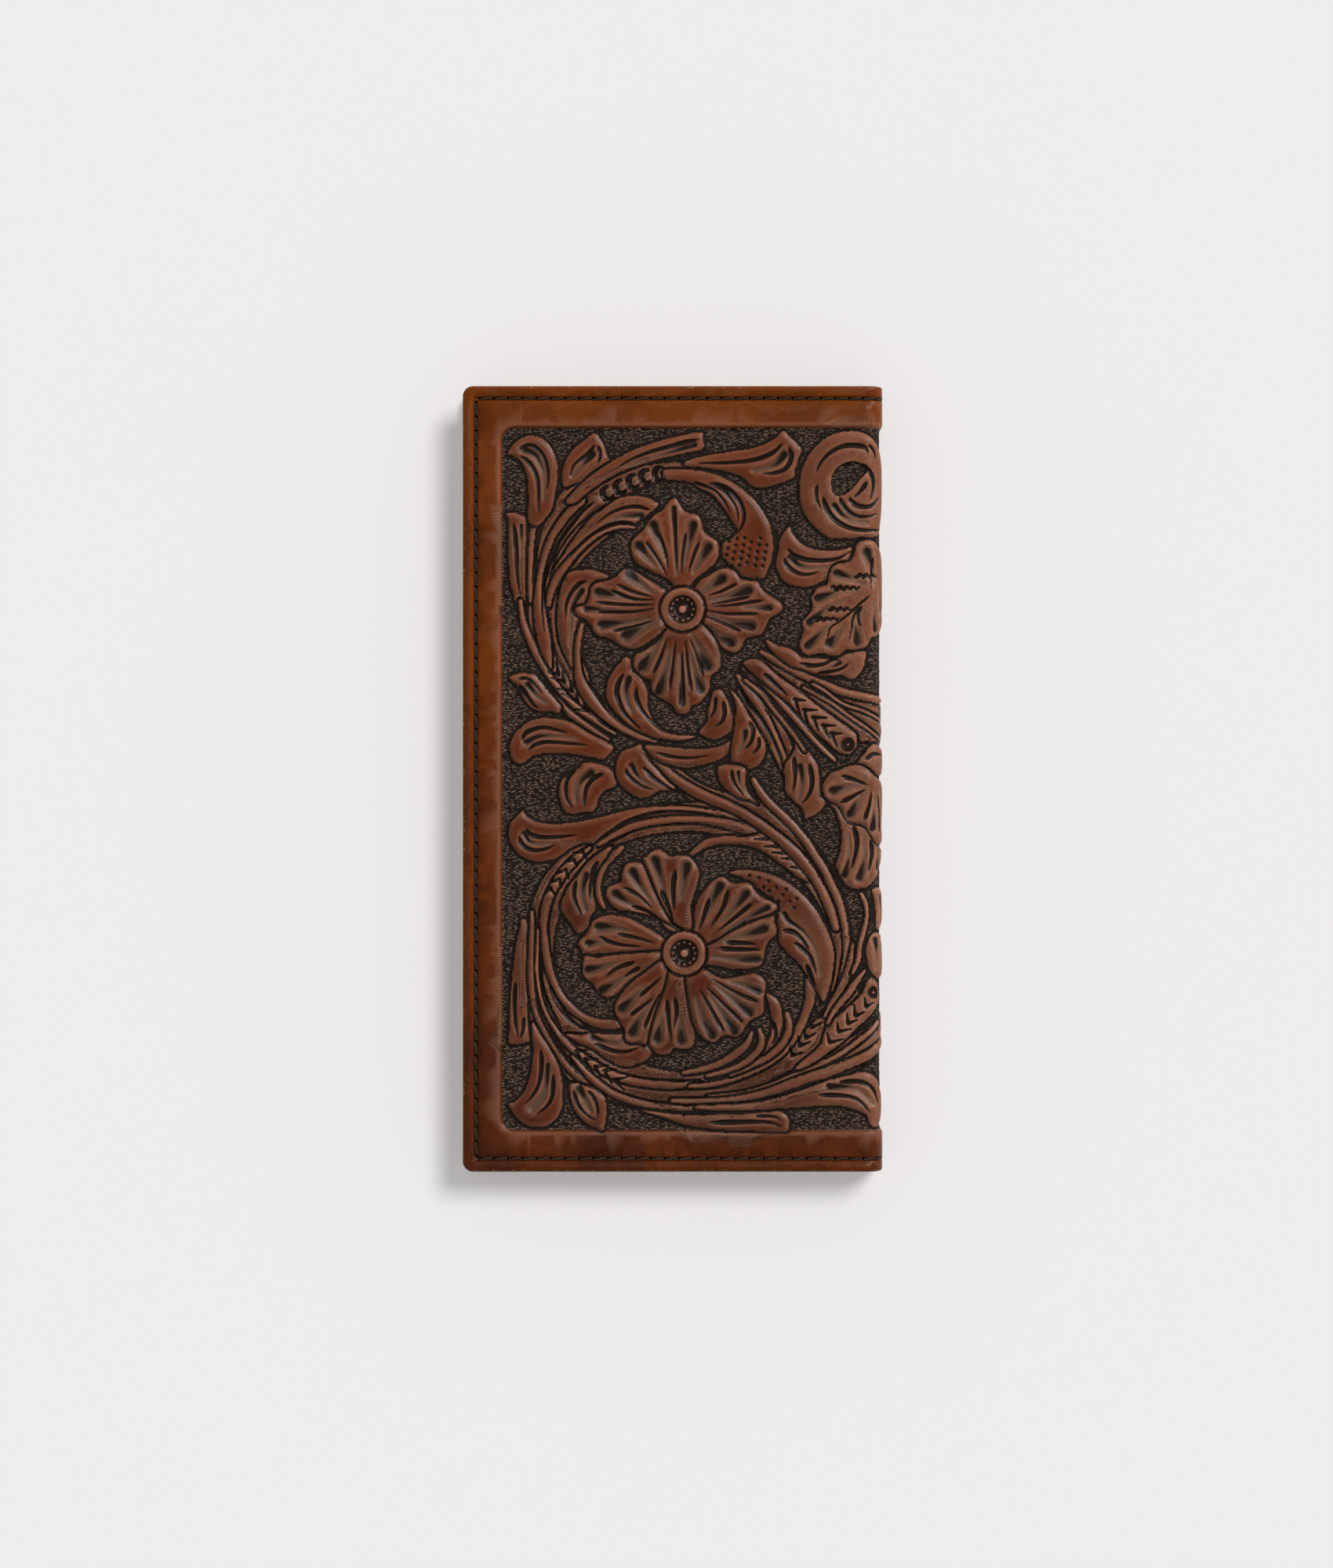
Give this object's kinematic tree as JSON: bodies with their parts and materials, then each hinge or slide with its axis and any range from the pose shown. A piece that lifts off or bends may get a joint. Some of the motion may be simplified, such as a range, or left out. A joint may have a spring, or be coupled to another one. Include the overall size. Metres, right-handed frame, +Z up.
{
  "type": "checkbook cover",
  "caption": "Folding checkbook cover of hand-tooled brown leather with floral carving, stitched edges, card and window pockets, a checkbook pocket and a clear flap.",
  "frame": {"origin": "centre of the closed cover's footprint, on the surface it lies on", "axes": "+X towards the fold, +Y along the fold towards the top edge, +Z up out of the front panel"},
  "size_m": [0.095, 0.177, 0.0152],
  "materials": {
    "tooled_leather": "hand-tooled veg-tan leather, dyed brown, antiqued in the recesses, waxed border",
    "lining_leather": "thin smooth brown lining leather",
    "pocket_leather": "thin smooth brown pocket leather with burnished edges",
    "thread": "waxed dark brown twisted thread",
    "clear_film": "clear soft vinyl"
  },
  "bodies": {
    "back": {"back_cover": "tooled_leather", "back_lining": "lining_leather", "back_bill_panel": "pocket_leather", "checkbook_pocket": "pocket_leather", "flap_hem": "pocket_leather", "back_edge_thread": "thread", "hem_thread": "thread"},
    "spine": {"spine_cover": "tooled_leather", "spine_lining": "lining_leather", "spine_thread": "thread"},
    "front": {"front_cover": "tooled_leather", "front_lining": "lining_leather", "front_bill_panel": "pocket_leather", "card_pocket_1": "pocket_leather", "card_pocket_2": "pocket_leather", "card_pocket_3": "pocket_leather", "card_pocket_4": "pocket_leather", "window_frame": "pocket_leather", "window_film": "clear_film", "front_edge_thread": "thread", "card_pocket_thread": "thread", "window_thread": "thread"},
    "flap": {"duplicate_flap": "clear_film"}
  },
  "joints": [
    {"name": "spine_fold", "type": "hinge", "parent": "back", "child": "spine", "pos_m": [0.04633, 0, 0.00117], "axis": [0, 1, 0], "range_deg": [0, 90]},
    {"name": "front_fold", "type": "hinge", "parent": "spine", "child": "front", "pos_m": [0.04633, 0, 0.01399], "axis": [0, 1, 0], "range_deg": [0, 90]},
    {"name": "flap_turn", "type": "hinge", "parent": "back", "child": "flap", "pos_m": [0.0343, 0, 0.00465], "axis": [0, 1, 0], "range_deg": [0, 90]}
  ],
  "couplings": [
    {"joint": "front_fold", "follows": "spine_fold", "ratio": 1},
    {"joint": "flap_turn", "follows": "spine_fold", "ratio": 1}
  ]
}
